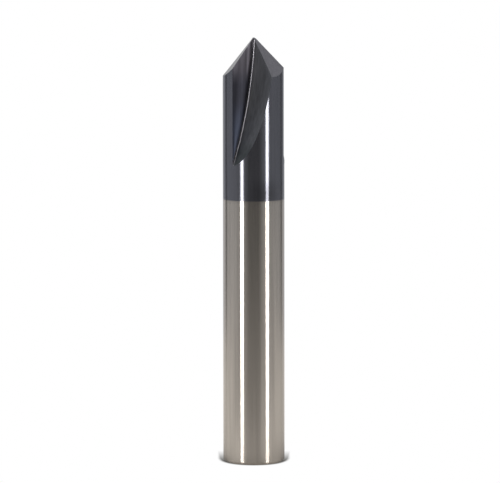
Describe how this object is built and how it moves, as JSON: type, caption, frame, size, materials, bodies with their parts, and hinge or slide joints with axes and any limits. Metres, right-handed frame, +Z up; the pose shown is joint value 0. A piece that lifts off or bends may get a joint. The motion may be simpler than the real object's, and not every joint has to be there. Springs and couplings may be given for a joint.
{
  "type": "chamfer mill",
  "caption": "Solid carbide chamfer mill with straight flutes, a dark-coated pointed cutting end and a plain round shank, for cutting bevels and deburring edges.",
  "frame": {"origin": "centre of the shank's flat end face, on the surface that the tool stands on", "axes": "+Z up the tool's axis towards the point; -Y faces the middle of one flute, which the picture looks into"},
  "size_m": [0.012, 0.012, 0.083],
  "materials": {
    "carbide": "cylindrically ground tungsten carbide, satin with fine streaks along the shank; the cutting end carries a dark violet-grey hard coating down to about 31 mm below the point"
  },
  "bodies": {
    "root": {"chamfer_mill": "carbide"}
  },
  "joints": []
}
